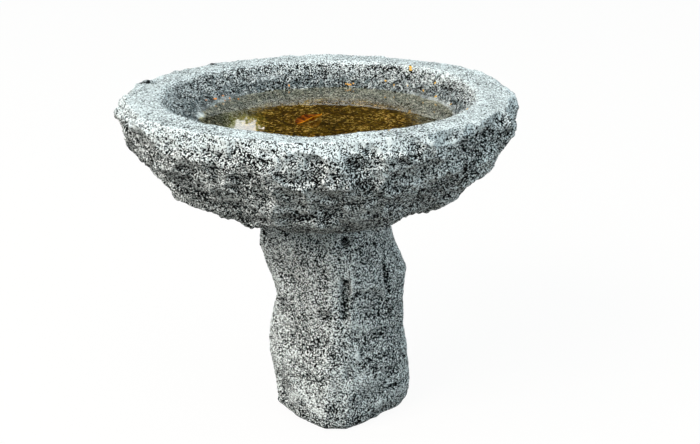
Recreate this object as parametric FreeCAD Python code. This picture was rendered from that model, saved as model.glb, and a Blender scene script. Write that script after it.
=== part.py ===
"""Rustic granite birdbath: a hewn basin that drops over a steel pin on a hewn granite pedestal.

Millimetres, +Z up. The origin is on the ground, on the pin's axis, which is the middle of the basin's reach.
-Y is the front. The basin rests on a rubber pad, turns on the pin and lifts off it.
"""

import FreeCAD
import Part
import math
import os

from FreeCAD import Vector

# Pedestal: a split granite block, set with one corner to the front.
PEDESTAL_HEIGHT = 337.0
# Reach of the left, right, front and back corners from the pin's axis, in even rows from the foot up.
PEDESTAL_REACH = (
    (75.0, 143.0, 104.0, 103.0),
    (77.0, 146.0, 104.0, 104.0),
    (87.0, 142.0, 106.0, 100.0),
    (83.0, 134.0, 101.0, 102.0),
    (75.0, 132.0, 98.0, 99.0),
    (84.0, 137.0, 100.0, 104.0),
    (95.0, 117.0, 104.0, 105.0),
    (97.0, 107.0, 98.0, 100.0),
)
RIDGE_AT_FOOT = 24.0  # sideways place of the front and back corners at the foot
RIDGE_AT_HEAD = 38.0  # and at the head: the column leans a little
CORNER_WIDTH = 34.0  # the split corners are blunt
FACE_POINTS = 3  # extra points on each face, which make it uneven
FACE_UNEVENNESS = 5.0
FACE_SWELL = 9.0  # how far the middle of a face stands out
FOOT_EASE = 8.0  # broken lower edge
HEAD_EASE = 6.0  # broken upper edge
DRILL_DIAMETER = 16.0  # half of a splitting hole, left on the front corner
DRILL_LENGTH = 72.0
DRILL_BELOW_HEAD = 72.0
DRILL_FROM_RIDGE = 6.0  # the hole runs a little right of the middle of the corner
POCKET_DIAMETER = 13.0  # where the same hole breaks out again under the basin
POCKET_BELOW_HEAD = 12.0
POCKET_DEPTH = 16.0

# Basin: a round granite block, rough outside, dressed on the rim and in the well.
BASIN_HEIGHT = 190.0
RIM_RADIUS = 304.0
SEAT_RADIUS = 106.0
# How far each row of the rough side stands inside the rim, from the seat up, in rows of even height.
SIDE_INSETS = (139.0, 93.0, 66.0, 48.0, 32.0, 16.0, 8.0)
LIP_DROP = 20.0  # the widest row, below the top
ARRIS_DROP = 8.0  # where the rough side meets the dressed rim
ARRIS_INSET = 4.0
CROWN_INSET = 15.0  # the top of the rim is level inside this
FACETS = 60  # corners round each row
HEWING_DEPTH = 7.0  # roughness in reach
HEWING_RISE = 4.0  # and in height
LIP_HEWING_DEPTH = 3.5  # the lip and the arris are worked closer
ARRIS_RISE = 2.0
# Places where a flake has come off: degrees round from the right, height above the seat, spread and depth.
# Where the depth is negative the stone was left standing proud.
FLAKES = (
    (187.0, 88.0, 20.0, -8.0),
    (187.0, 62.0, 20.0, 7.0),
    (196.0, 36.0, 26.0, -11.0),
    (24.0, 178.0, 70.0, -6.0),
    (212.0, 105.0, 52.0, 10.0),
    (225.0, 75.0, 24.0, -6.0),
    (232.0, 94.0, 28.0, 6.0),
    (233.0, 33.0, 34.0, 14.0),
    (245.0, 83.0, 28.0, 6.0),
    (246.0, 150.0, 40.0, 7.0),
    (256.0, 160.0, 26.0, 7.0),
    (270.0, 158.0, 26.0, 8.0),
    (284.0, 152.0, 26.0, 7.0),
    (298.0, 140.0, 44.0, 8.0),
    (312.0, 30.0, 32.0, 9.0),
    (315.0, 158.0, 30.0, 8.0),
    (317.0, 98.0, 28.0, -6.0),
    (325.0, 168.0, 36.0, 9.0),
    (327.0, 114.0, 28.0, -6.0),
    (352.0, 58.0, 48.0, 11.0),
    (8.0, 120.0, 34.0, 8.0),
    (38.0, 95.0, 60.0, 12.0),
    (66.0, 152.0, 34.0, 9.0),
    (72.0, 64.0, 36.0, -6.0),
    (95.0, 140.0, 55.0, 11.0),
    (122.0, 112.0, 34.0, 8.0),
    (140.0, 80.0, 50.0, 12.0),
    (160.0, 60.0, 32.0, -6.0),
    (165.0, 142.0, 36.0, 8.0),
)

# Well: the dressed hollow. Its wall shelves in from the rim to a pool that lies a little off centre.
RIM_WIDTH = 76.0  # rim to the top of the shelving wall
BROW_DROP = 8.0  # the inner edge is rounded off
BROW_WIDTH = 19.0
BROW_SWELL = 2.0  # how far the brow stands out between its ends
SHELF_BATTER = 1.64  # run of the shelving wall for each millimetre of fall
SHELF_DEPTH = 50.0
POOL_INSET = 114.0  # rim to the pool's wall, at the water's level
POOL_ASIDE = 13.0  # how far the pool's middle lies to the right of the rim's
POOL_BACK = 10.0  # and behind it
POOL_BATTER = 0.9  # run of the pool's wall for each millimetre of fall
WELL_DEPTH = 72.0
FLOOR_FALL = 4.0  # the floor is a little dished
FLOOR_ROUND = 46.0

# Water, as deep as the basin is usually filled.
FREEBOARD = 38.5  # top of the rim to the water

# Pad between the stones.
PAD_THICKNESS = 3.0
PAD_DIAMETER = 112.0
PAD_PIN_CLEARANCE = 0.3

# Pin, grouted in the pedestal.
PIN_DIAMETER = 20.0
PIN_EMBEDMENT = 70.0
PIN_STANDS = 42.0  # above the pedestal
PIN_CHAMFER = 2.5
GROUT_WALL = 4.0
GROUT_BED = 5.0
PIN_HOLE_CLEARANCE = 2.0  # round the pin in the basin
PIN_HOLE_SPARE = 5.0  # over the pin's end

# Unevenness of hewn stone: waves round the piece, what each turns from row to row, and where it starts.
HEWING_WAVES = (
    (3, 1.9, 0.0),
    (7, -2.3, 1.1),
    (13, 4.1, 2.0),
)

# Places worked out from the sizes above.
SEAT_LEVEL = PEDESTAL_HEIGHT + PAD_THICKNESS
TOP_LEVEL = SEAT_LEVEL + BASIN_HEIGHT
WATER_LEVEL = TOP_LEVEL - FREEBOARD
PIN_RADIUS = PIN_DIAMETER / 2
SOCKET_RADIUS = PIN_RADIUS + GROUT_WALL
SOCKET_BOTTOM = PEDESTAL_HEIGHT - PIN_EMBEDMENT - GROUT_BED
AXIS_UP = Vector(0, 0, 1)


def hewing(turn, row):
    """Unevenness of a hewn face, from -1 to 1, at an angle in radians and a row number."""
    waves = [math.sin(count * turn + drift * row + start) for count, drift, start in HEWING_WAVES]
    return sum(waves) / len(waves)


def closed_wire(points):
    """Straight-sided closed wire through the points."""
    return Part.makePolygon(points + points[:1])


def hewn_block(rows):
    """Solid with ruled faces through rows of points. The first and last rows are level."""
    block = Part.makeLoft([closed_wire(row) for row in rows], True, True)
    return block if block.Volume > 0 else block.reversed()


def upright_cylinder(radius, bottom, top, x=0.0, y=0.0):
    """Cylinder on a vertical axis between two heights."""
    return Part.makeCylinder(radius, top - bottom, Vector(x, y, bottom), AXIS_UP)


def drawn_in(points, distance):
    """The points moved towards their middle by a distance."""
    middle = Vector(sum(p.x for p in points), sum(p.y for p in points), 0) / len(points)
    moved = []
    for point in points:
        outward = Vector(point.x - middle.x, point.y - middle.y, 0)
        moved.append(point - outward.normalize() * distance)
    return moved


def at_height(points, height):
    """The points dropped or raised to one height."""
    return [Vector(point.x, point.y, height) for point in points]


def ridge_place(height):
    """Sideways place of the front and back corners at a height."""
    share = height / PEDESTAL_HEIGHT
    return RIDGE_AT_FOOT + (RIDGE_AT_HEAD - RIDGE_AT_FOOT) * share


def pedestal_row(number):
    """Outline of the pedestal at one row: four blunt corners and the uneven faces between them."""
    left, right, front, back = PEDESTAL_REACH[number]
    height = PEDESTAL_HEIGHT * number / (len(PEDESTAL_REACH) - 1)
    half = CORNER_WIDTH / 2
    ridge = ridge_place(height)
    corners = (
        (Vector(right, -half, height), Vector(right, half, height)),
        (Vector(ridge + half, back, height), Vector(ridge - half, back, height)),
        (Vector(-left, half, height), Vector(-left, -half, height)),
        (Vector(ridge - half, -front, height), Vector(ridge + half, -front, height)),
    )
    outline = []
    for index, (start, end) in enumerate(corners):
        outline += [start, end]
        following = corners[(index + 1) % len(corners)][0]
        along = following - end
        outward = along.cross(AXIS_UP).normalize()
        for step in range(1, FACE_POINTS + 1):
            share = step / (FACE_POINTS + 1)
            turn = math.pi / 2 * (index + share)
            swell = FACE_SWELL * math.sin(math.pi * share) + FACE_UNEVENNESS * hewing(turn, number)
            outline.append(end + along * share + outward * swell)
    return outline


def pedestal():
    """Hewn column with a socket for the pin and the remains of a splitting hole."""
    rows = [pedestal_row(number) for number in range(len(PEDESTAL_REACH))]
    foot, head = rows[0], rows[-1]
    rows[0] = at_height(foot, FOOT_EASE)
    rows[-1] = at_height(head, PEDESTAL_HEIGHT - HEAD_EASE)
    rows.insert(0, drawn_in(foot, FOOT_EASE))
    rows.append(drawn_in(head, HEAD_EASE))
    column = hewn_block(rows)
    socket = upright_cylinder(SOCKET_RADIUS, SOCKET_BOTTOM, PEDESTAL_HEIGHT)
    return column.cut(socket).cut(splitting_hole()).cut(hole_pocket())


def corner_front(height):
    """How far forward the front corner reaches at a height."""
    place = height / PEDESTAL_HEIGHT * (len(PEDESTAL_REACH) - 1)
    lower = min(int(place), len(PEDESTAL_REACH) - 2)
    below, above = PEDESTAL_REACH[lower][2], PEDESTAL_REACH[lower + 1][2]
    return below + (above - below) * (place - lower)


def splitting_hole():
    """Round groove down the front corner, half of it in the stone."""
    top = PEDESTAL_HEIGHT - DRILL_BELOW_HEAD
    middle = top - DRILL_LENGTH / 2
    x = ridge_place(middle) + DRILL_FROM_RIDGE
    return upright_cylinder(DRILL_DIAMETER / 2, top - DRILL_LENGTH, top, x, -corner_front(middle))


def hole_pocket():
    """Short hole into the front corner, close under the basin."""
    height = PEDESTAL_HEIGHT - POCKET_BELOW_HEAD
    start = Vector(ridge_place(height), -corner_front(height) - POCKET_DEPTH, height)
    return Part.makeCylinder(POCKET_DIAMETER / 2, 2 * POCKET_DEPTH, start, Vector(0, 1, 0))


def flake_depth(turn, height, radius):
    """How deep the flakes and knobs leave the stone at a place on the basin's side."""
    depth = 0.0
    for degrees, flake_height, spread, deepest in FLAKES:
        apart = math.remainder(turn - math.radians(degrees), 2 * math.pi) * radius
        distance = math.hypot(apart, height - flake_height)
        depth += deepest * math.exp(-((distance / spread) ** 2))
    return depth


def ring(radius, height, roughness=0.0, rise=0.0, row=0):
    """Row of corners round the basin, rough in reach by one depth and in height by another."""
    points = []
    for number in range(FACETS):
        turn = 2 * math.pi * number / FACETS
        reach = radius + roughness * hewing(turn, row)
        if roughness:
            reach -= flake_depth(turn, height, radius)
        level = SEAT_LEVEL + height + rise * hewing(-turn, row)
        points.append(Vector(reach * math.cos(turn), reach * math.sin(turn), level))
    return points


def basin_rows():
    """Rows of the basin's outside, from the seat to the crown of the rim, centred on the pin."""
    lip_height = BASIN_HEIGHT - LIP_DROP
    steps = len(SIDE_INSETS) + 1
    rows = [ring(SEAT_RADIUS, 0, HEWING_DEPTH)]
    for number, inset in enumerate(SIDE_INSETS, start=1):
        height = lip_height * number / steps
        rows.append(ring(RIM_RADIUS - inset, height, HEWING_DEPTH, HEWING_RISE, number))
    lip = ring(RIM_RADIUS, lip_height, LIP_HEWING_DEPTH, 0, steps)
    arris_height = BASIN_HEIGHT - ARRIS_DROP
    arris = ring(RIM_RADIUS - ARRIS_INSET, arris_height, LIP_HEWING_DEPTH, ARRIS_RISE, steps)
    crown = ring(RIM_RADIUS - CROWN_INSET, BASIN_HEIGHT)
    rows += [lip, arris, crown]
    outer = lip + arris
    middle_x = (min(p.x for p in outer) + max(p.x for p in outer)) / 2
    middle_y = (min(p.y for p in outer) + max(p.y for p in outer)) / 2
    shift = Vector(middle_x, middle_y, 0)
    return [[point - shift for point in row] for row in rows]


def rounded_corner(before, corner, after, radius):
    """Ends of the arc that rounds a corner, with a point on it between them."""
    to_before = (before - corner).normalize()
    to_after = (after - corner).normalize()
    half_angle = to_before.getAngle(to_after) / 2
    start = corner + to_before * (radius / math.tan(half_angle))
    end = corner + to_after * (radius / math.tan(half_angle))
    bisector = (to_before + to_after).normalize()
    middle = corner + bisector * (radius / math.sin(half_angle) - radius)
    return start, middle, end


def turned(edges):
    """Solid made by turning a closed outline round the upright axis."""
    solid = Part.Face(Part.Wire(edges)).revolve(Vector(0, 0, 0), AXIS_UP, 360)
    return solid if solid.Volume > 0 else solid.reversed()


def shelf():
    """Upper part of the well: the rounded brow and the shelving wall under it."""
    above = TOP_LEVEL + BROW_WIDTH
    brow_low = Vector(RIM_RADIUS - RIM_WIDTH, 0, TOP_LEVEL - BROW_DROP)
    brow_high = Vector(brow_low.x + BROW_WIDTH, 0, TOP_LEVEL)
    brow_chord = (brow_low + brow_high) / 2
    brow_middle = brow_chord + Vector(-BROW_DROP, 0, BROW_WIDTH).normalize() * BROW_SWELL
    bottom = TOP_LEVEL - SHELF_DEPTH
    foot = Vector(brow_low.x - SHELF_BATTER * (brow_low.z - bottom), 0, bottom)
    centre = Vector(0, 0, bottom)
    mouth = Vector(brow_high.x, 0, above)
    over_centre = Vector(0, 0, above)
    return turned([
        Part.LineSegment(centre, foot).toShape(),
        Part.LineSegment(foot, brow_low).toShape(),
        Part.Arc(brow_low, brow_middle, brow_high).toShape(),
        Part.LineSegment(brow_high, mouth).toShape(),
        Part.LineSegment(mouth, over_centre).toShape(),
        Part.LineSegment(over_centre, centre).toShape(),
    ])


def pool():
    """Lower part of the well: its steeper wall, rounded into the dished floor."""
    above = TOP_LEVEL + BROW_WIDTH
    floor = TOP_LEVEL - WELL_DEPTH
    floor_edge = floor + FLOOR_FALL
    radius = RIM_RADIUS - POOL_INSET
    foot = Vector(radius - POOL_BATTER * (WATER_LEVEL - floor_edge), 0, floor_edge)
    mouth = Vector(radius + POOL_BATTER * (above - WATER_LEVEL), 0, above)
    centre = Vector(0, 0, floor)
    over_centre = Vector(0, 0, above)
    wall_end, round_middle, floor_end = rounded_corner(mouth, foot, centre, FLOOR_ROUND)
    upright = turned([
        Part.LineSegment(centre, floor_end).toShape(),
        Part.Arc(floor_end, round_middle, wall_end).toShape(),
        Part.LineSegment(wall_end, mouth).toShape(),
        Part.LineSegment(mouth, over_centre).toShape(),
        Part.LineSegment(over_centre, centre).toShape(),
    ])
    return upright.translated(Vector(POOL_ASIDE, POOL_BACK, 0))


def well():
    """The well's hollow as a solid, open through the top of the rim."""
    return shelf().fuse(pool())


def basin():
    """Hewn block with the dressed well and a blind hole for the pin."""
    block = hewn_block(basin_rows())
    hole_top = PEDESTAL_HEIGHT + PIN_STANDS + PIN_HOLE_SPARE
    pin_hole = upright_cylinder(PIN_RADIUS + PIN_HOLE_CLEARANCE, SEAT_LEVEL, hole_top)
    return block.cut(well()).cut(pin_hole)


def water():
    """What the well holds up to the water level."""
    below = upright_cylinder(RIM_RADIUS, SEAT_LEVEL, WATER_LEVEL)
    return well().common(below)


def locating_pin():
    """Steel bar, chamfered at both ends."""
    bar = upright_cylinder(PIN_RADIUS, PEDESTAL_HEIGHT - PIN_EMBEDMENT, PEDESTAL_HEIGHT + PIN_STANDS)
    ends = [edge for edge in bar.Edges if isinstance(edge.Curve, Part.Circle)]
    return bar.makeChamfer(PIN_CHAMFER, ends)


def pin_grout():
    """Grout that fills the socket round and under the pin."""
    return upright_cylinder(SOCKET_RADIUS, SOCKET_BOTTOM, PEDESTAL_HEIGHT).cut(locating_pin())


def seat_pad():
    """Rubber ring round the pin, between the two stones."""
    disc = upright_cylinder(PAD_DIAMETER / 2, PEDESTAL_HEIGHT, SEAT_LEVEL)
    return disc.cut(upright_cylinder(PIN_RADIUS + PAD_PIN_CLEARANCE, PEDESTAL_HEIGHT, SEAT_LEVEL))


def main():
    os.makedirs("parts", exist_ok=True)
    for make in (pedestal, pin_grout, locating_pin, seat_pad, basin, water):
        shape = make()
        solids = shape.Solids
        piece = solids[0] if len(solids) == 1 else Part.makeCompound(solids)
        piece.exportStep(f"parts/{make.__name__}.step")
        litres = piece.Volume / 1e6
        print(f"{make.__name__}: {len(solids)} solid, {litres:.3f} l, valid {piece.isValid()}")
        print(f"  {piece.BoundBox}")


main()
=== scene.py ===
import bpy
import math
import numpy
from mathutils import Matrix, Vector, kdtree


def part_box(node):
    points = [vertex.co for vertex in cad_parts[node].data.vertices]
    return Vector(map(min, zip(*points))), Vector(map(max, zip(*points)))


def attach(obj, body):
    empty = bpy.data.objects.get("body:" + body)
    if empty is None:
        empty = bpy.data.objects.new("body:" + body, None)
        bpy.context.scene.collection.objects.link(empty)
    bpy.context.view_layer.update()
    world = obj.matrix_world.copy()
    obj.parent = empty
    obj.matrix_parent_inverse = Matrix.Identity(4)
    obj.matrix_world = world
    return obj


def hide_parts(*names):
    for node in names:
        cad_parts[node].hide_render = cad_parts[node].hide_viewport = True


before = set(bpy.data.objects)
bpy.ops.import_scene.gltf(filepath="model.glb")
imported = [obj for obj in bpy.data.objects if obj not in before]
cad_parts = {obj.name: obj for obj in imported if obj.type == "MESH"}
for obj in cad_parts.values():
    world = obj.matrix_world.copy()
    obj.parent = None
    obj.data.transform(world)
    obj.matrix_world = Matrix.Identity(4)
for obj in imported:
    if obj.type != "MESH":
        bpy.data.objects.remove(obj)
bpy.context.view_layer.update()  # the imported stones, pin, grout, pad and water, in metres
scene = bpy.context.scene
mm = 0.001


# small helpers

def hexColour(code):  # sRGB hex to linear
    channels = [int(code[place:place + 2], 16) / 255 for place in (1, 3, 5)]
    return [c / 12.92 if c < 0.0405 else ((c + 0.055) / 1.055) ** 2.4 for c in channels] + [1]


def addNode(tree, kind, settings={}, links={}):
    node = tree.nodes.new("ShaderNode" + kind)
    for name, value in settings.items():
        if name == "stops":  # a colour ramp, as places and hex colours
            while len(node.color_ramp.elements) < len(value):
                node.color_ramp.elements.new(0.5)
            for element, (place, code) in zip(node.color_ramp.elements, value):
                element.position = place
                element.color = hexColour(code)
        elif hasattr(node, str(name)):
            setattr(node, name, value)
        else:
            node.inputs[name].default_value = value
    for name, socket in links.items():
        tree.links.new(socket, node.inputs[name])
    return node


def newMaterial(name):
    material = bpy.data.materials.new(name)
    material.use_nodes = True
    material.node_tree.nodes.clear()
    return material, material.node_tree


def smoothStep(low, high, value):
    share = numpy.clip((value - low) / (high - low), 0, 1)
    return share * share * (3 - 2 * share)


def ramp(base, band, value):  # 0 to 1 over a band that is given in mm from the base
    return smoothStep(base + band[0] * mm, base + band[1] * mm, value)


def selectOnly(piece):
    bpy.ops.object.select_all(action="DESELECT")
    piece.select_set(True)
    bpy.context.view_layer.objects.active = piece


def useModifier(piece, kind, settings):
    modifier = piece.modifiers.new(kind.title(), kind)
    for name, value in settings.items():
        setattr(modifier, name, value)
    selectOnly(piece)
    bpy.ops.object.modifier_apply(modifier=modifier.name)


def copyOfNode(node, name):
    piece = bpy.data.objects.new(name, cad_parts[node].data.copy())
    piece.data.materials.clear()
    scene.collection.objects.link(piece)
    selectOnly(piece)
    bpy.ops.object.mode_set(mode="EDIT")
    bpy.ops.mesh.select_all(action="SELECT")
    bpy.ops.mesh.remove_doubles(threshold=0.01 * mm)
    bpy.ops.object.mode_set(mode="OBJECT")
    return piece


def readPoints(piece):
    points = numpy.empty(len(piece.data.vertices) * 3)
    normals = numpy.empty(len(piece.data.vertices) * 3)
    piece.data.vertices.foreach_get("co", points)
    piece.data.vertices.foreach_get("normal", normals)
    return points.reshape(-1, 3), normals.reshape(-1, 3)


def writePoints(piece, points):
    piece.data.vertices.foreach_set("co", points.ravel())
    piece.data.update()


def addGroup(piece, name, weights):
    group = piece.vertex_groups.new(name=name)
    for index in numpy.flatnonzero(weights > 0.01):
        group.add([int(index)], float(weights[index]), "REPLACE")


def addAttribute(piece, name, values):
    attribute = piece.data.attributes.new(name, "FLOAT", "POINT")
    attribute.data.foreach_set("value", values.astype(numpy.float32))


def roughen(piece, group, layers):  # each layer: texture kind, its settings, size and depth in mm
    for kind, settings, size, depth in layers:
        texture = bpy.data.textures.new(piece.name + kind.title(), kind)
        texture.noise_scale = size * mm
        for name, value in settings.items():
            setattr(texture, name, value)
        useModifier(piece, "DISPLACE", {"texture": texture, "texture_coords": "LOCAL", "vertex_group": group,
                                        "strength": depth * mm, "mid_level": 0.5})


def hew(points, normals, mask, blows):  # each blow of the hammer leaves one flat face
    chance = numpy.random.default_rng(blows["seed"])
    spots = chance.choice(numpy.flatnonzero(mask > 0.5), blows["count"])
    left = mask * blows["deepest"] * mm  # what may still come off
    span = blows["most"] - blows["least"]
    slack = 10 * mm  # the tree keeps the points where they lay at first
    places = kdtree.KDTree(len(points))
    for index, point in enumerate(points):
        places.insert(point, index)
    places.balance()
    for spot in spots:
        size = (blows["least"] + span * chance.random() ** 1.6) * mm  # most blows are small
        lean = normals[spot] + chance.normal(0, blows["lean"], 3)
        lean /= numpy.linalg.norm(lean)
        struck = [index for place, index, far in places.find_range(points[spot], size + slack)]
        away = points[struck] - points[spot]
        near = 1 - smoothStep(size * 0.5, size, numpy.linalg.norm(away, axis=1))
        off = numpy.clip((away @ lean + size * blows["bite"]) * near, 0, left[struck])
        left[struck] -= off
        points[struck] -= numpy.outer(off, lean)


def markStrength(points, x, y, z, wide, tall):  # 1 at the mark's middle, fading over its size in mm
    flat = ((points[:, 0] - x * mm) ** 2 + (points[:, 1] - y * mm) ** 2) / (wide * mm) ** 2
    return numpy.exp(-flat - ((points[:, 2] - z * mm) / (tall * mm)) ** 2)


def carve(points, normals, marks):  # chips struck out (minus) or left standing (plus)
    for x, y, z, wide, tall, depth in marks:
        points += normals * (markStrength(points, x, y, z, wide, tall) * depth * mm)[:, None]


def stainShare(points, stains):  # painted light (plus) and painted shade (minus), with real pale bruises and grime among them
    return sum(markStrength(points, *stain[:5]) * stain[5] for stain in stains)


def standOut(piece, rounds):  # mm by which each point stands out of its smoothed surroundings
    points, normals = readPoints(piece)
    ends = numpy.empty(len(piece.data.edges) * 2, dtype=numpy.int32)
    piece.data.edges.foreach_get("vertices", ends)
    here = numpy.concatenate([ends[0::2], ends[1::2]])
    there = numpy.concatenate([ends[1::2], ends[0::2]])
    count = numpy.bincount(here, minlength=len(points))
    calm = points.copy()
    for turn in range(rounds):
        calm = numpy.stack([numpy.bincount(here, calm[there, axis], len(points)) for axis in range(3)], 1)
        calm /= count[:, None]
    return ((points - calm) * normals).sum(1) / mm


# camera, light and floor

cameraView = {"x": 46.7, "y": -1450, "z": 851, "pitchDown": 20.13, "lens": 50.09}  # mm and degrees
photoWide, photoTall = 700, 444  # the picture, in pixels
cameraData = bpy.data.cameras.new("camera")
cameraData.lens = cameraView["lens"]
cameraData.sensor_width = 36
camera = bpy.data.objects.new("camera", cameraData)
camera.location = [cameraView[axis] * mm for axis in "xyz"]
camera.rotation_euler = (math.radians(90 - cameraView["pitchDown"]), 0, 0)
scene.collection.objects.link(camera)
scene.camera = camera

studio = {"zenith": 1.05, "horizon": 0.34, "domeTint": "#e0f3fa", "keyPower": 505, "keySize": 4,
          "keyTint": "#fff7ee", "keyPlace": (-4.5, -3.5, 5), "fillPower": 85, "fillSize": 3,
          "fillTint": "#e6f3fa", "fillPlace": (5, -3, 2.5), "aimHeight": 0.4, "floorSize": 14,
          "paper": "#706c66", "paperWhite": 0.65, "paperGlow": 1.44}
scene.view_settings.view_transform = "Standard"


def seenShare(tree):  # 1 for what the eye sees, straight, mirrored or through the water
    path = addNode(tree, "LightPath").outputs
    straight = addNode(tree, "Math", {"operation": "ADD"},
                       {0: path["Is Camera Ray"], 1: path["Is Glossy Ray"]})
    return addNode(tree, "Math", {"operation": "ADD", "use_clamp": True},
                   {0: straight.outputs[0], 1: path["Is Transmission Ray"]}).outputs[0]


world = bpy.data.worlds.new("studio")
world.use_nodes = True
world.node_tree.nodes.clear()
scene.world = world
sky = world.node_tree
seen = seenShare(sky)
upward = addNode(sky, "SeparateXYZ", {}, {0: addNode(sky, "TexCoord").outputs["Generated"]})
dome = addNode(sky, "MapRange", {"To Min": studio["horizon"], "To Max": studio["zenith"]},
               {"Value": upward.outputs["Z"]})  # a soft dome, dimmer low down
level = addNode(sky, "MapRange", {"To Max": 1}, {"Value": seen, "To Min": dome.outputs[0]})
tint = addNode(sky, "Mix", {"data_type": "RGBA", 6: hexColour(studio["domeTint"]), 7: hexColour("#ffffff")},
               {0: seen})
background = addNode(sky, "Background", {}, {"Color": tint.outputs[2], "Strength": level.outputs[0]})
addNode(sky, "OutputWorld", {}, {"Surface": background.outputs[0]})


def addLight(name, values):  # a soft box, turned to the object
    light = bpy.data.lights.new(name + "Light", "AREA")
    light.energy = values[name + "Power"]
    light.size = values[name + "Size"]
    light.color = hexColour(values[name + "Tint"])[:3]
    lamp = bpy.data.objects.new(name + "Light", light)
    lamp.location = values[name + "Place"]
    aim = Vector((0, 0, values["aimHeight"])) - lamp.location
    lamp.rotation_euler = aim.to_track_quat("-Z", "Y").to_euler()
    scene.collection.objects.link(lamp)


addLight("key", studio)
addLight("fill", studio)


def whitePaper():  # seamless background paper: matt, white to the eye, with the object's shadow on it
    material, tree = newMaterial("white paper")
    share = addNode(tree, "Math", {"operation": "MULTIPLY", 1: studio["paperWhite"]}, {0: seenShare(tree)})
    matt = addNode(tree, "BsdfDiffuse", {"Color": hexColour(studio["paper"])})
    white = addNode(tree, "Emission", {"Color": hexColour("#ffffff"), "Strength": studio["paperGlow"]})
    mix = addNode(tree, "MixShader", {}, {0: share.outputs[0], 1: matt.outputs[0], 2: white.outputs[0]})
    addNode(tree, "OutputMaterial", {}, {"Surface": mix.outputs[0]})
    return material


bpy.ops.object.select_all(action="DESELECT")
bpy.ops.mesh.primitive_plane_add(size=studio["floorSize"])
floor = bpy.context.object
floor.name = "floor"
floor.data.materials.append(whitePaper())

# a screen round the floor that only mirror images show: the pool reflects trees and a gap of sky
screenForm = {"radius": 3.2, "height": 3.0, "sides": 96, "gapMiddle": -0.465, "gapHalf": 0.058,
              "leafHalf": 0.095, "sideRag": 0.12, "fadeFrom": 0.085, "fadeTo": 0.035, "gapLeast": 0.4,
              "treeTop": 1.303, "topRag": 0.1, "topFade": 0.06, "skyGlow": 3, "leafMm": 30}


def treeScreen(values):  # trees out of focus, painted dark, with one ragged gap of pale sky
    material, tree = newMaterial("tree screen")
    coords = addNode(tree, "TexCoord").outputs["Object"]
    place = addNode(tree, "SeparateXYZ", {}, {0: coords})
    leaves = addNode(tree, "TexNoise", {"Scale": 1000 / values["leafMm"], "Detail": 3}, {"Vector": coords})
    twigs = addNode(tree, "SeparateColor", {}, {"Color": leaves.outputs["Color"]})
    shade = addNode(tree, "ValToRGB", {"stops": [(0.35, "#14130a"), (0.55, "#26230f"), (0.75, "#3c391a")]},
                    {"Fac": leaves.outputs["Fac"]})
    top = addNode(tree, "Math", {"operation": "MULTIPLY_ADD", 1: values["topRag"]},
                  {0: twigs.outputs["Green"], 2: place.outputs["Z"]})
    rise = addNode(tree, "MapRange", {"From Min": values["treeTop"],
                                      "From Max": values["treeTop"] + values["topFade"]},
                   {"Value": top.outputs[0]})
    aside = addNode(tree, "Math", {"operation": "SUBTRACT", 1: values["gapMiddle"]}, {0: place.outputs["X"]})
    away = addNode(tree, "Math", {"operation": "ABSOLUTE"}, {0: aside.outputs[0]})
    ragged = addNode(tree, "Math", {"operation": "MULTIPLY_ADD", 1: values["sideRag"]},
                     {0: twigs.outputs["Red"], 2: away.outputs[0]})
    gap = addNode(tree, "MapRange", {"From Min": values["gapHalf"] + values["fadeFrom"],
                                     "From Max": values["gapHalf"] + values["fadeTo"],
                                     "To Min": values["gapLeast"]}, {"Value": ragged.outputs[0]})
    leafy = addNode(tree, "MapRange", {"From Min": values["leafHalf"] + values["fadeFrom"],
                                       "From Max": values["leafHalf"] + values["fadeTo"]},
                    {"Value": ragged.outputs[0]})
    lit = addNode(tree, "Math", {"operation": "MULTIPLY"}, {0: rise.outputs[0], 1: gap.outputs[0]})
    through = addNode(tree, "ValToRGB", {"stops": [(0.05, "#20220a"), (0.4, "#464a16"), (0.7, "#6e7434"),
                                                   (0.9, "#f4f6f4")]}, {"Fac": lit.outputs[0]})
    behind = addNode(tree, "Math", {"operation": "GREATER_THAN", 1: 0}, {0: place.outputs["Y"]})
    clear = addNode(tree, "Math", {"operation": "MULTIPLY"}, {0: leafy.outputs[0], 1: behind.outputs[0]})
    colour = addNode(tree, "Mix", {"data_type": "RGBA"},
                     {0: clear.outputs[0], 6: shade.outputs[0], 7: through.outputs[0]})
    bright = addNode(tree, "MapRange", {"To Min": 1, "To Max": values["skyGlow"]},
                     {"Value": clear.outputs[0]})
    glow = addNode(tree, "Emission", {}, {"Color": colour.outputs[2], "Strength": bright.outputs[0]})
    addNode(tree, "OutputMaterial", {}, {"Surface": glow.outputs[0]})
    return material


bpy.ops.mesh.primitive_cylinder_add(vertices=screenForm["sides"], radius=screenForm["radius"],
                                    depth=screenForm["height"], end_fill_type="NOTHING",
                                    location=(0, 0, screenForm["height"] / 2))
bpy.ops.object.transform_apply(location=True)
screen = bpy.context.object
screen.name = "screen"
screen.data.materials.append(treeScreen(screenForm))
for ray in ("camera", "diffuse", "transmission", "shadow", "volume_scatter"):
    setattr(screen, "visible_" + ray, False)
print("studio set")


# stone

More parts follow.
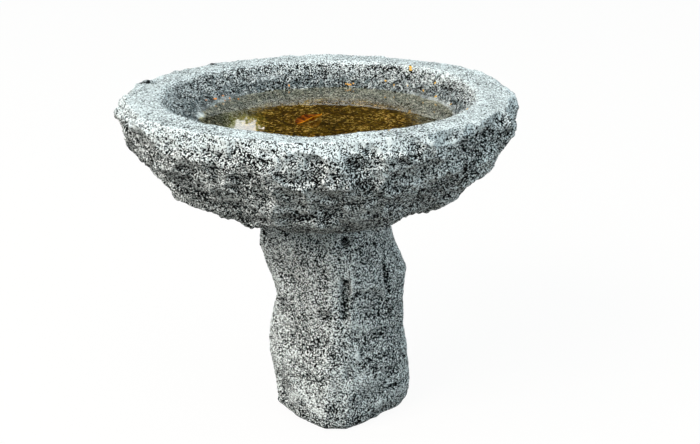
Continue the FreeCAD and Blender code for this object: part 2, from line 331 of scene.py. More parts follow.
def granite(name, look):  # speckled granite: black mica, grey quartz and white feldspar, broken or hammered
    material, tree = newMaterial(name)
    coords = addNode(tree, "TexCoord").outputs["Object"]
    ragged = addNode(tree, "TexNoise", {"Scale": 1000 / look["raggedMm"], "Detail": 1}, {"Vector": coords})
    lie = addNode(tree, "Mapping", {"Rotation": look["lie"]}, {"Vector": coords})  # no rows of grains in view
    place = addNode(tree, "VectorMath", {"operation": "MULTIPLY_ADD",
                                         1: [look["raggedMm"] * look["raggedShare"] * mm] * 3},
                    {0: ragged.outputs["Color"], 2: lie.outputs[0]})
    crystals = addNode(tree, "TexVoronoi", {"Scale": 1000 / look["grainMm"]}, {"Vector": place.outputs[0]})
    chance = addNode(tree, "SeparateColor", {}, {"Color": crystals.outputs["Color"]})
    flecks = addNode(tree, "TexVoronoi", {"Scale": 1000 / look["fleckMm"]}, {"Vector": place.outputs[0]})
    fleck = addNode(tree, "SeparateColor", {}, {"Color": flecks.outputs["Color"]})
    small = addNode(tree, "Math", {"operation": "LESS_THAN", 1: look["flecks"]},
                    {0: chance.outputs["Blue"]})
    salted = addNode(tree, "Mix", {},
                     {0: small.outputs[0], 2: chance.outputs["Red"], 3: fleck.outputs["Red"]})
    clumps = addNode(tree, "TexNoise", {"Scale": 1000 / look["clumpMm"], "Detail": 4}, {"Vector": coords})
    lean = addNode(tree, "Math", {"operation": "MULTIPLY", 1: look["clumping"]}, {0: clumps.outputs["Fac"]})
    mixed = addNode(tree, "Math", {"operation": "MULTIPLY_ADD", 1: 1 - look["clumping"]},
                    {0: salted.outputs[0], 2: lean.outputs[0]})
    relief = addNode(tree, "Attribute", {"attribute_name": "relief"})  # painted shade in the hollows, paler bruised ridges, and the painted light, painted shade and real grime of the marks
    mineralShaded = addNode(tree, "Math", {"operation": "MULTIPLY_ADD", 1: look["weathering"]},
                        {0: relief.outputs["Fac"], 2: mixed.outputs[0]})
    patches = addNode(tree, "TexNoise", {"Scale": 1000 / look["patchMm"], "Detail": 2}, {"Vector": coords})
    shift = addNode(tree, "MapRange", {"From Min": 0.3, "From Max": 0.7, "To Min": -look["patchy"],
                                       "To Max": look["patchy"]}, {"Value": patches.outputs["Fac"]})
    mineral = addNode(tree, "Math", {"operation": "ADD"}, {0: mineralShaded.outputs[0], 1: shift.outputs[0]})
    broken = addNode(tree, "ValToRGB", {"stops": look["broken"]}, {"Fac": mineral.outputs[0]})
    hammered = addNode(tree, "ValToRGB", {"stops": look["hammered"]}, {"Fac": mineral.outputs[0]})
    dressed = addNode(tree, "Attribute", {"attribute_name": "dressed"})
    frayed = addNode(tree, "Math", {"operation": "MULTIPLY_ADD", 1: look["fray"]},
                     {0: clumps.outputs["Fac"], 2: dressed.outputs["Fac"]})
    worked = addNode(tree, "MapRange", {"From Min": look["frayFrom"], "From Max": look["frayTo"]},
                     {"Value": frayed.outputs[0]})
    colour = addNode(tree, "Mix", {"data_type": "RGBA"},
                     {0: worked.outputs[0], 6: broken.outputs[0], 7: hammered.outputs[0]})
    wet = addNode(tree, "Attribute", {"attribute_name": "wet"})
    drying = addNode(tree, "MapRange", {"From Min": 0.4, "From Max": 0.6, "To Min": look["dryLeast"],
                                        "To Max": look["dryMost"]},
                     {"Value": clumps.outputs["Fac"]})  # it dries in patches
    soaked = addNode(tree, "Math", {"operation": "MULTIPLY"},
                     {0: wet.outputs["Fac"], 1: drying.outputs[0]})
    damp = addNode(tree, "Mix", {"data_type": "RGBA", "blend_type": "MULTIPLY", 7: hexColour(look["damp"])},
                   {0: soaked.outputs[0], 6: colour.outputs[2]})
    mud = addNode(tree, "TexNoise", {"Scale": 1000 / look["siltMm"], "Detail": 6, "Roughness": 0.7},
                  {"Vector": coords})
    debris = addNode(tree, "TexVoronoi", {"Scale": 1000 / look["debrisMm"]}, {"Vector": place.outputs[0]})
    bit = addNode(tree, "SeparateColor", {}, {"Color": debris.outputs["Color"]})
    bits = addNode(tree, "Math", {"operation": "MULTIPLY_ADD", 1: look["debris"]},
                   {0: bit.outputs["Red"], 2: mud.outputs["Fac"]})
    rotted = addNode(tree, "Math", {"operation": "ADD"}, {0: bits.outputs[0], 1: shift.outputs[0]})
    mudColour = addNode(tree, "ValToRGB", {"stops": look["silt"]}, {"Fac": rotted.outputs[0]})
    rust = addNode(tree, "MapRange", {"From Min": 0.5, "From Max": 0.7, "To Max": look["rustShare"]},
                   {"Value": clumps.outputs["Fac"]})
    rusty = addNode(tree, "Mix", {"data_type": "RGBA", "blend_type": "MULTIPLY", 7: hexColour(look["rust"])},
                    {0: rust.outputs[0], 6: mudColour.outputs[0]})
    silt = addNode(tree, "Attribute", {"attribute_name": "silt"})
    settled = addNode(tree, "Mix", {"data_type": "RGBA"},
                      {0: silt.outputs["Fac"], 6: damp.outputs[2], 7: rusty.outputs[2]})
    tide = addNode(tree, "Attribute", {"attribute_name": "tide"})  # scum left at the water's edge
    gathered = addNode(tree, "MapRange", {"From Min": 0.4, "From Max": 0.6, "To Min": look["scumLeast"],
                                          "To Max": look["scumMost"]},
                       {"Value": patches.outputs["Fac"]})
    scum = addNode(tree, "Math", {"operation": "MULTIPLY", "use_clamp": True},
                   {0: tide.outputs["Fac"], 1: gathered.outputs[0]})
    marked = addNode(tree, "Mix", {"data_type": "RGBA", 7: hexColour(look["scum"])},
                     {0: scum.outputs[0], 6: settled.outputs[2]})
    rough = addNode(tree, "MapRange", {"To Min": look["roughDry"], "To Max": look["roughWet"]},
                    {"Value": wet.outputs["Fac"]})
    pits = addNode(tree, "TexVoronoi", {"Scale": 1000 / look["pitMm"], "Detail": 2},
                   {"Vector": place.outputs[0]})
    pitted = addNode(tree, "MapRange", {"To Min": look["pitBump"], "To Max": look["pitClosed"]},
                     {"Value": worked.outputs[0]})  # the hammer has closed most pits
    coarse = addNode(tree, "Bump", {"Distance": look["pitDeep"] * mm},
                     {"Strength": pitted.outputs[0], "Height": pits.outputs["Distance"]})
    fine = addNode(tree, "Bump", {"Strength": look["grainBump"], "Distance": look["grainDeep"] * mm},
                   {"Height": mixed.outputs[0], "Normal": coarse.outputs[0]})
    shader = addNode(tree, "BsdfPrincipled", {"Specular IOR Level": look["gloss"], "IOR": look["ior"]},
                     {"Base Color": marked.outputs[2], "Roughness": rough.outputs[0],
                      "Normal": fine.outputs[0]})
    addNode(tree, "OutputMaterial", {}, {"Surface": shader.outputs[0]})
    return material


stoneLook = {
    "lie": (0.5, 0.3, 0.7), "grainMm": 1.52, "grainBump": 1, "grainDeep": 0.38, "fleckMm": 1.0, "flecks": 0.1,
    "raggedMm": 1.2, "raggedShare": 0.4, "clumpMm": 8, "clumping": 0.08, "patchMm": 42, "patchy": 0.1,
    "weathering": 0.27, "fray": 1.2, "frayFrom": 0.95, "frayTo": 1.25,
    "pitMm": 6, "pitBump": 1, "pitClosed": 0.15, "pitDeep": 1.8,
    "damp": "#7c8587", "dryLeast": 0.45, "dryMost": 1.1,
    "scum": "#d3d8d6", "scumLeast": 0.12, "scumMost": 0.5,
    "siltMm": 8, "debrisMm": 3, "debris": 0.5, "rust": "#b06a30", "rustShare": 0.6,
    "roughDry": 0.78, "roughWet": 0.35, "gloss": 0.1, "ior": 1.54,
    "broken": [(0.6, "#020303"), (0.65, "#0d1313"), (0.685, "#738180"), (0.715, "#e3eeec"),
               (0.78, "#fbfffe")],
    "hammered": [(0.44, "#030405"), (0.495, "#303838"), (0.535, "#b4bebf"), (0.59, "#dce3e3"),
                 (0.8, "#eaf0f0")],
    "silt": [(0.42, "#060400"), (0.58, "#281c01"), (0.78, "#463503"), (0.93, "#786214"), (1, "#d8c074")],
}
stoneMaterial = granite("granite", stoneLook)

# pedestal: split from the block, so its faces are broad, with a grainy break all over
pedestalForm = {
    "voxel": 2.1, "footBand": (0, 5), "headBand": (-14, -2), "splash": 0.75, "splashBand": (4, 34),
    "calmRounds": 40, "reliefMm": 1.8,
    "blows": {"seed": 5, "count": 70, "least": 18, "most": 60, "lean": 0.12, "bite": 0.05, "deepest": 5},
    "layers": [("CLOUDS", {"noise_depth": 2}, 26, 4), ("CLOUDS", {"noise_depth": 2}, 6, 2.4)],
    "marks": [(45, -105, 107, 5, 13, -6), (59, -94, 130, 5, 12, 4), (103, -58, 253, 6, 26, -8),
              (118, -42, 255, 8, 24, 3), (110, -59, 55, 8, 3.5, -5), (118, -53, 55, 8, 3.5, -5),
              (126, -46, 55, 8, 3.5, -5), (134, -36, 53, 8, 3.5, -5), (140, -26, 51, 8, 3.5, -5),
              (94, -71, 36, 5, 5, 3), (88, -75, 4, 9, 14, -7), (104, -60, 6, 8, 14, -5),
              (143, -18, 2, 10, 18, -6), (108, -55, 8, 14, 14, -5), (-20, -85, 2, 16, 10, -2),
              (20, -112, 2, 16, 9, -2)],
    # marks of painted light (plus) and painted shade (minus), such as a groove's shadow and lit edge and the
    # darker right face, with real pale bruises and grime among them
    "stains": [(-29, -79, 62, 10, 13, 1.2), (-14, -88, 46, 11, 12, 1.2), (-1, -98, 33, 9, 9, 1.2),
               (-46, -62, 119, 9, 10, 1.2), (59, -94, 130, 5, 11, 1.4), (51, -101, 257, 4, 5, 1.4),
               (71, -88, 238, 6, 6, 1), (94, -71, 36, 6, 6, 1.4), (51, -99, 221, 4, 14, 0.7),
               (50, -98, 199, 4, 9, 0.6), (58, -93, 181, 4, 8, 0.6), (59, -92, 153, 4, 12, 0.6),
               (60, -97, 108, 4, 9, 0.7), (117, -53, 43, 9, 5, 0.6),
               (38, -93, 256, 3, 9, -0.5), (37, -93, 234, 3, 14, -0.5), (38, -93, 206, 3, 10, -0.4),
               (36, -99, 179, 4, 8, -0.4), (45, -105, 107, 6, 11, -0.7), (64, -92, 234, 7, 6, -0.5),
               (102, -57, 265, 5, 9, -0.6), (106, -57, 245, 5, 12, -0.6), (111, -51, 225, 5, 8, -0.5),
               (22, -98, 190, 14, 16, -0.35), (21, -101, 140, 14, 30, -0.5), (-12, -88, 128, 10, 12, -0.5),
               (20, -104, 36, 20, 16, -0.75), (56, -95, 20, 14, 10, -0.75), (-11, -87, 285, 20, 20, -0.15),
               (62, -94, 313, 16, 12, -0.3), (100, -62, 212, 14, 14, 0.25), (65, -89, 205, 10, 16, 0.25),
               (24, -101, 254, 10, 10, 0.25), (102, -66, 60, 16, 20, 0.15),
               (110, -59, 55, 8, 3, -0.4), (122, -49, 55, 9, 3, -0.4), (134, -36, 53, 9, 3, -0.4),
               (-19, -79, 237, 12, 10, -0.35), (20, -97, 283, 12, 12, -0.3), (58, -100, 95, 10, 10, -0.3),
               (-63, -45, 125, 14, 16, -0.2), (112, -60, 170, 45, 140, -0.4)],
}


def shapePedestal(values):
    piece = copyOfNode("pedestal", "splitPedestal")
    useModifier(piece, "REMESH", {"mode": "VOXEL", "voxel_size": values["voxel"] * mm})
    points, normals = readPoints(piece)
    low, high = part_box("pedestal")
    height = points[:, 2]
    free = ramp(low.z, values["footBand"], height)  # the bed under it and the seat stay flat
    free *= 1 - ramp(high.z, values["headBand"], height)
    addGroup(piece, "rough", free)
    hew(points, normals, free, values["blows"])
    carve(points, normals, values["marks"])
    points[:, 2] = numpy.maximum(points[:, 2], low.z)
    writePoints(piece, points)
    roughen(piece, "rough", values["layers"])
    nearFoot = 1 - ramp(0, values["splashBand"], height)  # darker towards the foot
    shadedAndStained = stainShare(points, values["stains"]) - values["splash"] * nearFoot
    # painted shade in the hollows, paler bruised ridges
    relief = numpy.clip(standOut(piece, values["calmRounds"]) / values["reliefMm"], -1, 1) * 0.5 + 0.5
    addAttribute(piece, "relief", relief + shadedAndStained)
    bpy.ops.object.shade_smooth()
    piece.data.materials.append(stoneMaterial)
    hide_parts("pedestal")
    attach(piece, "pedestal")
    return piece


pedestal = shapePedestal(pedestalForm)
print("pedestal", len(pedestal.data.polygons), "faces")

# basin: hewn outside in small faces, hammered even on the rim and in the well
basinForm = {
    "voxel": 2.8, "keep": 0.7, "brow": 250, "wellDrop": 4, "crown": 286, "crownBand": (-4, 8), "lipDrop": 14,
    "lipBand": (-40, -20), "seatBand": (95, 130), "evenBand": (-14, -2), "even": 0.7, "rimRough": 0.12,
    "swell": 4, "swellBand": (5, 60), "backRise": 3, "backBand": (150, 290), "backTop": (-40, 0),
    "light": 0.6, "lightBand": (50, 90),
    "blows": {"seed": 3, "count": 800, "least": 9, "most": 42, "lean": 0.25, "bite": 0.1, "deepest": 7},
    "chips": {"seed": 6, "count": 1800, "least": 6, "most": 18, "lean": 0.45, "bite": 0.16, "deepest": 4.5},
    "lipBlows": {"seed": 8, "count": 130, "least": 8, "most": 22, "lean": 0.3, "bite": 0.1, "deepest": 3.5},
    "layers": [("CLOUDS", {"noise_depth": 2, "noise_type": "HARD_NOISE"}, 15, 4.5),
               ("CLOUDS", {"noise_depth": 2}, 6, 1.8)],
    "scum": [(-181, -14, 493, 5, 4), (-179, 0, 492, 5, 4), (-176, 12, 491, 5, 4), (-173, 27, 490, 5, 4),
             (-171, 40, 490, 5, 4), (-170, 54, 491, 5, 4), (-166, 68, 491, 5, 4)],
    "picked": [("CLOUDS", {"noise_depth": 2, "noise_type": "HARD_NOISE"}, 30, 8),
               ("CLOUDS", {"noise_depth": 2}, 8, 5)],
    "marks": [(-10, -290, 498, 42, 15, 6), (65, -287, 492, 15, 9, -3), (236, -176, 512, 30, 7, -4),
              (206, -206, 506, 30, 7, -4), (191, -180, 436, 18, 4, 4), (227, -156, 452, 18, 4, 4),
              (-162, -207, 434, 22, 5, -4), (-106, -227, 421, 26, 4, -4), (-273, 64, 531, 9, 8, 4),
              (-196, 214, 531, 10, 8, 3), (-229, -101, 423, 30, 14, -9), (-130, -181, 401, 28, 12, 8),
              (235, 150, 528, 80, 25, 3), (-5, -240, 530, 45, 15, -4.5)],
    "edgeDrop": 12, "edgeBand": (-2, 2), "edgeWaves": [(3, 9, 0), (3, 23, 1), (2, 47, 2)],
    "edgeDips": [(8, -1.6, 0.8), (9, -2.5, 0.4)], "browBand": (-5, -1),
    "wetFrom": 6, "wetTo": 8, "drier": 0.65, "wetTop": (-6, -2), "siltBand": (110, 162), "siltAside": 4,
    "tideUp": 2, "tideWide": 3, "tideEnds": (0.6, 0.9), "scumShare": 5,
    "dirt": 0.55, "dirtBand": (10, 75), "calmRounds": 24, "reliefMm": 2.5, "ridge": 0.6,
    # marks of painted light (plus) and painted shade (minus), such as a lighter right rim, a darker right
    # flank and a lit front lip, with real moss and pale bruises among them
    "stains": [(-272, 62, 533, 13, 10, -2.4), (-196, 214, 533, 12, 10, -2), (-69, -287, 503, 16, 9, -0.9),
               (48, -293, 507, 16, 7, -0.1), (63, -281, 472, 20, 14, -0.4), (22, -297, 508, 11, 6, -0.8),
               (226, -171, 492, 16, 7, -0.5), (251, -146, 497, 16, 7, -0.5), (268, -128, 502, 16, 8, -0.5),
               (-187, -177, 428, 16, 6, -0.7), (-160, -203, 431, 16, 6, -0.7), (-92, -231, 421, 16, 7, -0.5),
               (-56, -255, 434, 22, 5, 0.5), (-180, -224, 474, 32, 14, 0.2), (32, -273, 456, 20, 10, 0.25),
               (-26, -292, 508, 40, 7, 0.6), (-100, -200, 395, 60, 25, -0.4), (-10, -246, 413, 30, 8, -0.6),
               (116, -266, 490, 20, 16, 0.35), (118, -250, 463, 20, 12, 0.55), (154, -231, 460, 16, 10, 0.6),
               (-6, -297, 510, 12, 7, 0.35), (178, 129, 507, 40, 14, 0.25), (98, 183, 495, 40, 14, 0.25),
               (-250, -173, 512, 20, 12, 0.4), (-141, -235, 453, 16, 8, 0.35), (-109, -237, 437, 14, 6, 0.35),
               (84, -270, 480, 16, 10, 0.3), (55, -268, 448, 14, 8, 0.3), (-190, -190, 475, 80, 40, -0.33),
               (260, 0, 530, 110, 12, 0.22), (190, -190, 465, 110, 50, -0.42), (-258, 50, 530, 40, 12, 0.45),
               (-185, 130, 521, 30, 8, -0.4), (-129, 192, 525, 30, 8, -0.5), (-88, 212, 525, 25, 7, -0.35),
               (124, 202, 527, 28, 7, -0.6), (166, 163, 521, 22, 8, -0.4), (-283, -94, 494, 14, 12, 0.4),
               (-224, -202, 516, 14, 8, 0.35), (-116, -273, 522, 14, 7, 0.6), (-90, -285, 510, 12, 9, -0.7),
               (72, -287, 509, 12, 7, -0.5), (103, -273, 525, 12, 7, 0.6), (138, -238, 458, 14, 10, 0.5),
               (172, -204, 530, 20, 8, 0.4)],
}


def shapeBasin(values):
    piece = copyOfNode("basin", "hewnBasin")
    useModifier(piece, "REMESH", {"mode": "VOXEL", "voxel_size": values["voxel"] * mm})
    points, normals = readPoints(piece)
    low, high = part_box("basin")
    waterLow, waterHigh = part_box("water")
    reach = numpy.hypot(points[:, 0], points[:, 1])
    height = points[:, 2]
    inWell = (height > waterLow.z - values["wellDrop"] * mm) & (reach < values["brow"] * mm)
    onTop = height > high.z - values["lipDrop"] * mm
    outside = numpy.where(onTop, ramp(values["crown"] * mm, values["crownBand"], reach), 1) * ~inWell
    outside *= ramp(0, values["seatBand"], reach)  # the seat stays flat
    lip = outside * ramp(high.z, values["lipBand"], height)
    inside = inWell * smoothStep(waterLow.z + values["wellDrop"] * mm, waterHigh.z, height)
    inside *= 1 - values["even"] * ramp(high.z, values["evenBand"], height)  # the brow runs even
    inside += (onTop & ~inWell) * (1 - outside) * values["rimRough"]
    belly = outside * (1 - lip) * ramp(low.z, values["swellBand"], height)
    points += normals * (belly * values["swell"] * mm)[:, None]
    toBack = ramp(0, values["backBand"], points[:, 1] + 0.5 * points[:, 0])  # the rim is higher there
    points[:, 2] += toBack * ramp(high.z, values["backTop"], height) * values["backRise"] * mm
    force = values["light"] + (1 - values["light"]) * ramp(low.z, values["lightBand"], height)
    hew(points, normals, outside * force, values["blows"])  # lighter blows under the bowl
    hew(points, normals, outside, values["chips"])
    hew(points, normals, lip, values["lipBlows"])
    carve(points, normals, values["marks"])
    writePoints(piece, points)
    addGroup(piece, "rough", outside)
    addGroup(piece, "picked", inside)
    roughen(piece, "rough", values["layers"])
    roughen(piece, "picked", values["picked"])
    points = readPoints(piece)[0]
    height = numpy.maximum(points[:, 2], low.z)  # nothing hangs below the seat
    writePoints(piece, numpy.column_stack([points[:, :2], height]))
    angle = numpy.arctan2(points[:, 1], points[:, 0])  # the hammered face ends unevenly, lower in front
    stray = sum(deep * numpy.sin(count * angle + turn) for deep, count, turn in values["edgeWaves"])
    stray -= sum(deep * numpy.exp(-((angle - at) / wide) ** 2) for deep, at, wide in values["edgeDips"])
    top = ramp(high.z + (stray - values["edgeDrop"]) * mm, values["edgeBand"], height)
    brow = ramp(high.z, values["browBand"], height)
    addAttribute(piece, "dressed", numpy.where(inWell, brow, top))
    wet = 1 - values["drier"] * smoothStep(waterHigh.z + values["wetFrom"] * mm,
                                           high.z - values["wetTo"] * mm, height)
    addAttribute(piece, "wet", inWell * wet * (1 - ramp(high.z, values["wetTop"], height)))
    middle = (waterLow + waterHigh) / 2
    fromMiddle = numpy.hypot(points[:, 0] - middle.x - values["siltAside"] * mm, points[:, 1] - middle.y)
    addAttribute(piece, "silt", inWell * (1 - ramp(0, values["siltBand"], fromMiddle)))
    aside = numpy.abs(points[:, 0] - middle.x) / (waterHigh.x - middle.x)
    above = (height - waterHigh.z - values["tideUp"] * mm) / (values["tideWide"] * mm)
    tide = numpy.exp(-above ** 2) * smoothStep(*values["tideEnds"], aside)
    tide += sum(markStrength(points, *spot) * values["scumShare"] for spot in values["scum"])
    addAttribute(piece, "tide", inWell * tide)
    shadedAndStained = stainShare(points, values["stains"])
    shadedAndStained -= values["dirt"] * outside * (1 - ramp(low.z, values["dirtBand"], height))  # painted shade under the bowl, darkest at its lowest part
    # painted shade in the hollows, paler bruised ridges, with the marks' painted light and shade added
    relief = numpy.clip(standOut(piece, values["calmRounds"]) / values["reliefMm"], -1, values["ridge"])
    addAttribute(piece, "relief", relief * 0.5 + 0.5 + shadedAndStained)
    addGroup(piece, "thin", 1 - inWell)  # fewer faces, but all of them in the well, for its silt and scum
    useModifier(piece, "DECIMATE", {"ratio": values["keep"], "vertex_group": "thin"})
    bpy.ops.object.shade_smooth()
    piece.data.materials.append(stoneMaterial)
    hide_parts("basin")
    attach(piece, "basin")
    return piece


basin = shapeBasin(basinForm)
print("basin", len(basin.data.polygons), "faces")

# water: a still pool, drawn up a little where it meets the stone
waterForm = {"segments": 192, "sink": 8, "rise": 1.2, "film": 2, "filmRise": 0.4, "rings": 24,
             "crowding": 0.8, "bed": 20, "bedDrop": 2, "tint": "#e6ddb8", "rippleMm": 45, "rippleBump": 0.03,
             "rippleDeep": 2}


def pondWater(look):  # rain water with a little silt in it: smooth and faintly brown
    material, tree = newMaterial("pond water")
    coords = addNode(tree, "TexCoord").outputs["Object"]
    ripple = addNode(tree, "TexNoise", {"Scale": 1000 / look["rippleMm"], "Detail": 2}, {"Vector": coords})
    bump = addNode(tree, "Bump", {"Strength": look["rippleBump"], "Distance": look["rippleDeep"] * mm},
                   {"Height": ripple.outputs["Fac"]})
    shader = addNode(tree, "BsdfPrincipled", {"Base Color": hexColour(look["tint"]), "Roughness": 0.01,
                                              "IOR": 1.333, "Transmission Weight": 1},
                     {"Normal": bump.outputs[0]})
    addNode(tree, "OutputMaterial", {}, {"Surface": shader.outputs[0]})
    return material


def pourWater(values):
    low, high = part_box("water")
    middle = (low + high) / 2
    edge = (high.x - low.x) / 2
    flat = edge - values["film"] * mm
    bed = low.z - values["bedDrop"] * mm
    deep = edge - values["bed"] * mm
    rings = [(edge + values["sink"] * mm, high.z + values["rise"] * mm),
             (edge + values["film"] * mm, high.z + values["rise"] * values["filmRise"] * mm), (flat, high.z)]
    rings += [(flat * (1 - step / values["rings"]) ** values["crowding"], high.z)
              for step in range(1, values["rings"])]
    bpy.ops.object.select_all(action="DESELECT")
    bpy.ops.mesh.primitive_circle_add(vertices=values["segments"], radius=deep, fill_type="NGON",
                                      location=(middle.x, middle.y, bed))
    piece = bpy.context.object
    piece.name = "stillWater"
    bpy.ops.object.transform_apply(location=True)
    bpy.ops.object.mode_set(mode="EDIT")
    bpy.ops.mesh.select_all(action="SELECT")
    for (radius, level), (nextRadius, nextLevel) in zip([(deep, bed)] + rings, rings):
        bpy.ops.mesh.extrude_region_move(TRANSFORM_OT_translate={"value": (0, 0, nextLevel - level)})
        bpy.ops.transform.resize(value=(nextRadius / radius, nextRadius / radius, 1),
                                 center_override=(middle.x, middle.y, nextLevel))
    bpy.ops.mesh.select_all(action="SELECT")
    bpy.ops.mesh.normals_make_consistent(inside=False)
    bpy.ops.object.mode_set(mode="OBJECT")
    bpy.ops.object.shade_smooth_by_angle(angle=math.radians(40))
    piece.data.materials.append(pondWater(values))
    piece.visible_shadow = False  # daylight reaches the floor of the well through it
    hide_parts("water")
    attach(piece, "basin")


pourWater(waterForm)
print("water poured")

# a dead leaf afloat, curled up at its edges
leafForm = {"length": 64, "half": 13, "least": 0.5, "tip": (2, 5), "turn": 239, "curl": 6, "flatter": 0.35,
            "fold": 1.5, "bend": 2.5, "waves": 0.7, "lift": 0.6, "thick": 0.5, "uneven": 0.2,
            "veins": 55, "veinSlant": -0.22, "veinShare": 0.03, "dried": 0.16, "blotchMm": 9}


def deadLeaf(look):  # a fallen leaf, soaked and orange brown, with paler veins
    material, tree = newMaterial("dead leaf")
    coords = addNode(tree, "TexCoord").outputs["Object"]
    along = addNode(tree, "Attribute", {"attribute_name": "along"})
    across = addNode(tree, "Attribute", {"attribute_name": "across"})
    side = addNode(tree, "Math", {"operation": "ABSOLUTE"}, {0: across.outputs["Fac"]})
    slant = addNode(tree, "Math", {"operation": "MULTIPLY_ADD", 1: look["veinSlant"]},
                    {0: side.outputs[0], 2: along.outputs["Fac"]})
    wave = addNode(tree, "Math", {"operation": "MULTIPLY", 1: look["veins"]}, {0: slant.outputs[0]})
    vein = addNode(tree, "Math", {"operation": "SINE"}, {0: wave.outputs[0]})
    blotch = addNode(tree, "TexNoise", {"Scale": 1000 / look["blotchMm"], "Detail": 5}, {"Vector": coords})
    veined = addNode(tree, "Math", {"operation": "MULTIPLY_ADD", 1: look["veinShare"]},
                     {0: vein.outputs[0], 2: blotch.outputs["Fac"]})
    value = addNode(tree, "Math", {"operation": "MULTIPLY_ADD", 1: look["dried"]},
                    {0: across.outputs["Fac"], 2: veined.outputs[0]})  # one side painted paler: a painted highlight along the curled edge
    colour = addNode(tree, "ValToRGB", {"stops": [(0.32, "#3c1a00"), (0.46, "#844000"), (0.58, "#b06000"),
                                                  (0.7, "#f0a020")]}, {"Fac": value.outputs[0]})
    bump = addNode(tree, "Bump", {"Strength": 0.5, "Distance": 0.3 * mm}, {"Height": value.outputs[0]})
    shader = addNode(tree, "BsdfPrincipled", {"Roughness": 0.8, "Specular IOR Level": 0.05},
                     {"Base Color": colour.outputs[0], "Normal": bump.outputs[0]})
    addNode(tree, "OutputMaterial", {}, {"Surface": shader.outputs[0]})
    return material


def floatLeaf(values):
    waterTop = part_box("water")[1].z
    bpy.ops.object.select_all(action="DESELECT")
    bpy.ops.mesh.primitive_grid_add(x_subdivisions=44, y_subdivisions=16, size=1)
    piece = bpy.context.object
    piece.name = "fallenLeaf"
    points = readPoints(piece)[0]
    along = points[:, 0] + 0.5
    across = points[:, 1] * 2
    half = values["half"] * numpy.sin(math.pi * along ** 1.1) ** 0.55 + values["least"]  # blunt at both ends
    drift = values["bend"] * numpy.sin(3.3 * along)  # the leaf bends to one side
    curled = values["flatter"] + (1 - values["flatter"]) * (across > 0)  # one edge stands higher
    rise = values["curl"] * across ** 2 * curled * numpy.sin(math.pi * along)
    waves = values["waves"] * numpy.sin(9 * along + 2 * across)
    rise += values["fold"] * numpy.abs(across) + waves + values["lift"]
    wide = across * half * (1 - values["uneven"] * across) + drift
    shape = numpy.column_stack([along * values["length"], wide, rise]) * mm
    turn = numpy.array(Matrix.Rotation(math.radians(values["turn"]), 3, "Z"))
    tip = (values["tip"][0] * mm, values["tip"][1] * mm, waterTop)
    writePoints(piece, shape @ turn.T + tip)
    addAttribute(piece, "along", along)
    addAttribute(piece, "across", across)
    useModifier(piece, "SOLIDIFY", {"thickness": values["thick"] * mm})
    bpy.ops.object.shade_smooth()
    piece.data.materials.append(deadLeaf(values))
    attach(piece, "basin")


floatLeaf(leafForm)
print("leaf afloat")

# husks and petals: where each shows in the picture, and its size; the big one is a pale petal
litter = {
    "long": 2.3, "wide": 1.5, "thick": 0.5, "cup": 90, "point": 120, "lift": 0.6, "seed": 4, "petal": 2,
    "stainMm": 1.5, "stainShare": 0.3,
    "shows": [(206.3, 100.3, 0.7), (215, 99.2, 1.4), (223, 96, 0.9), (224.6, 100.5, 0.7), (229.6, 98.5, 0.8),
              (238.6, 99.3, 0.9), (289, 85.6, 0.9), (345.5, 84, 0.8), (348, 84.3, 1), (349.8, 84.5, 0.9),
              (351.3, 85.3, 0.8), (353.5, 83.5, 0.8), (385.6, 80.9, 1), (394.3, 85.1, 0.8), (408, 86, 0.7),
              (410.6, 67.5, 1.5), (410.8, 70, 1.2), (423.8, 90.6, 1), (435.3, 83, 0.9), (436, 96.6, 1.1),
              (451, 104.5, 0.9), (467.3, 109.5, 1), (262.3, 129.3, 2.1), (389, 130.5, 0.6)],
}


def dryHusks(look):  # dry seed husks and petals: thin, matt, yellow to orange
    material, tree = newMaterial("dry husks")
    coords = addNode(tree, "TexCoord").outputs["Object"]
    ripe = addNode(tree, "Attribute", {"attribute_name": "ripe"})
    stain = addNode(tree, "TexNoise", {"Scale": 1000 / look["stainMm"], "Detail": 3}, {"Vector": coords})
    value = addNode(tree, "Math", {"operation": "MULTIPLY_ADD", 1: look["stainShare"]},
                    {0: stain.outputs["Fac"], 2: ripe.outputs["Fac"]})
    colour = addNode(tree, "ValToRGB", {"stops": [(0.1, "#e68e44"), (0.4, "#eca75c"), (0.7, "#e8b44c"),
                                                  (0.95, "#f0bd28"), (1, "#f2e3d6")]},
                     {"Fac": value.outputs[0]})
    bump = addNode(tree, "Bump", {"Strength": 0.4, "Distance": 0.2 * mm}, {"Height": stain.outputs["Fac"]})
    shader = addNode(tree, "BsdfPrincipled", {"Roughness": 0.6},
                     {"Base Color": colour.outputs[0], "Normal": bump.outputs[0]})
    addNode(tree, "OutputMaterial", {}, {"Surface": shader.outputs[0]})
    return material


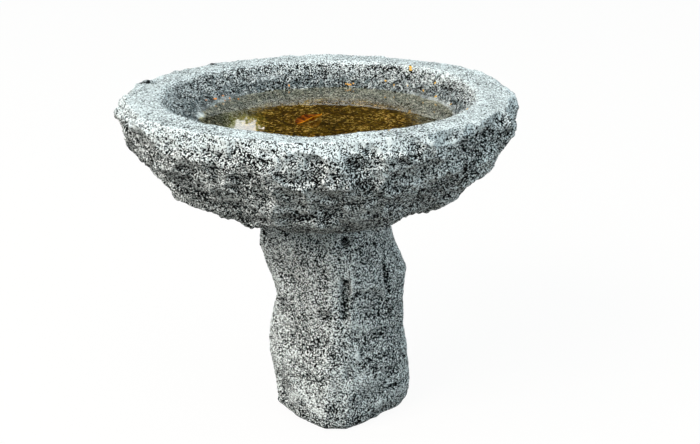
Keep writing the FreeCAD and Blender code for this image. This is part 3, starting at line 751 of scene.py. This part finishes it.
def scatterLitter(values):
    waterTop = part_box("water")[1].z
    chance = numpy.random.default_rng(values["seed"])
    bpy.context.view_layer.update()
    focal = cameraView["lens"] / cameraData.sensor_width * photoWide
    bpy.ops.object.select_all(action="DESELECT")
    bpy.ops.mesh.primitive_uv_sphere_add(segments=16, ring_count=10, radius=1)
    pattern = bpy.context.object  # every husk is a copy of it
    ball = readPoints(pattern)[0]
    husks = []
    for across, down, size in values["shows"]:
        toSpot = Vector(((across - photoWide / 2) / focal, (photoTall / 2 - down) / focal, -1))
        aim = camera.matrix_world.to_3x3() @ toSpot
        point, normal = basin.ray_cast(camera.location, aim.normalized())[1:3]
        if point.z < waterTop:  # afloat
            point = camera.location + aim * ((waterTop - camera.location.z) / aim.z)
            normal = Vector((0, 0, 1))
        husk = bpy.data.objects.new("husk", pattern.data.copy())
        scene.collection.objects.link(husk)
        points = ball * (numpy.array([values["long"], values["wide"], values["thick"]]) * size * mm)
        points[:, 2] += values["cup"] * points[:, 0] ** 2  # cupped
        points[:, 1] *= 1 - values["point"] * points[:, 0]  # pointed
        spin = Matrix.Rotation(chance.uniform(0, 6.28), 3, "Z")
        lay = normal.to_track_quat("Z", "Y").to_matrix() @ spin
        writePoints(husk, points @ numpy.array(lay).T + numpy.array(point + normal * values["lift"] * mm))
        ripe = 1.4 if size > values["petal"] else point.x / 0.5 + 0.35  # yellower to the right
        addAttribute(husk, "ripe", numpy.full(len(points), ripe))
        husks.append(husk)
    bpy.data.objects.remove(pattern)
    selectOnly(husks[-1])
    for husk in husks:
        husk.select_set(True)
    bpy.ops.object.join()
    piece = bpy.context.object
    piece.name = "husks"
    bpy.ops.object.shade_smooth()
    piece.data.materials.append(dryHusks(values))
    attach(piece, "basin")


scatterLitter(litter)
print("litter scattered")

# what the stones hide: pad, pin and grout keep their CAD shape
padLook = {"dustMm": 4, "weaveMm": 1.2, "rough": 0.85}
pinLook = {"lineMm": 0.5, "lineLong": 30, "roughLeast": 0.25, "roughMost": 0.5}
groutLook = {"sandMm": 0.9, "sandShare": 0.35, "cloudMm": 8, "rough": 0.9}


def neopreneSheet(look):  # sheet rubber: black, matt, with a woven mark from the press
    material, tree = newMaterial("neoprene sheet")
    coords = addNode(tree, "TexCoord").outputs["Object"]
    dust = addNode(tree, "TexNoise", {"Scale": 1000 / look["dustMm"], "Detail": 5}, {"Vector": coords})
    colour = addNode(tree, "ValToRGB", {"stops": [(0.4, "#131313"), (0.7, "#242322")]},
                     {"Fac": dust.outputs["Fac"]})
    weave = addNode(tree, "TexVoronoi", {"Scale": 1000 / look["weaveMm"], "Randomness": 0},
                    {"Vector": coords})
    bump = addNode(tree, "Bump", {"Strength": 0.4, "Distance": 0.2 * mm},
                   {"Height": weave.outputs["Distance"]})
    shader = addNode(tree, "BsdfPrincipled", {"Roughness": look["rough"]},
                     {"Base Color": colour.outputs[0], "Normal": bump.outputs[0]})
    addNode(tree, "OutputMaterial", {}, {"Surface": shader.outputs[0]})
    return material


def drawnSteel(look):  # stainless bar: drawn, so its marks run along it
    material, tree = newMaterial("drawn stainless steel")
    coords = addNode(tree, "TexCoord").outputs["Object"]
    across = 1000 / look["lineMm"]
    long = addNode(tree, "Mapping", {"Scale": (across, across, 1000 / look["lineLong"])}, {"Vector": coords})
    lines = addNode(tree, "TexNoise", {"Scale": 1, "Detail": 4}, {"Vector": long.outputs[0]})
    colour = addNode(tree, "ValToRGB", {"stops": [(0.35, "#a9a8a4"), (0.65, "#d2d1cd")]},
                     {"Fac": lines.outputs["Fac"]})
    rough = addNode(tree, "MapRange", {"To Min": look["roughLeast"], "To Max": look["roughMost"]},
                    {"Value": lines.outputs["Fac"]})
    bump = addNode(tree, "Bump", {"Strength": 0.2, "Distance": 0.05 * mm}, {"Height": lines.outputs["Fac"]})
    shader = addNode(tree, "BsdfPrincipled", {"Metallic": 1},
                     {"Base Color": colour.outputs[0], "Roughness": rough.outputs[0],
                      "Normal": bump.outputs[0]})
    addNode(tree, "OutputMaterial", {}, {"Surface": shader.outputs[0]})
    return material


def cementGrout(look):  # poured cement grout: grey, with sand showing
    material, tree = newMaterial("cement grout")
    coords = addNode(tree, "TexCoord").outputs["Object"]
    sand = addNode(tree, "TexVoronoi", {"Scale": 1000 / look["sandMm"]}, {"Vector": coords})
    cloud = addNode(tree, "TexNoise", {"Scale": 1000 / look["cloudMm"], "Detail": 5}, {"Vector": coords})
    value = addNode(tree, "Math", {"operation": "MULTIPLY_ADD", 1: look["sandShare"]},
                    {0: sand.outputs["Distance"], 2: cloud.outputs["Fac"]})
    colour = addNode(tree, "ValToRGB", {"stops": [(0.4, "#77746e"), (0.6, "#98958e"), (0.85, "#b9b6ad")]},
                     {"Fac": value.outputs[0]})
    bump = addNode(tree, "Bump", {"Strength": 0.5, "Distance": 0.3 * mm}, {"Height": value.outputs[0]})
    shader = addNode(tree, "BsdfPrincipled", {"Roughness": look["rough"]},
                     {"Base Color": colour.outputs[0], "Normal": bump.outputs[0]})
    addNode(tree, "OutputMaterial", {}, {"Surface": shader.outputs[0]})
    return material


hidden = {"seat_pad": neopreneSheet(padLook), "locating_pin": drawnSteel(pinLook),
          "pin_grout": cementGrout(groutLook)}
for node, material in hidden.items():
    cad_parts[node].data.materials.clear()
    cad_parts[node].data.materials.append(material)
print("hidden pieces dressed")
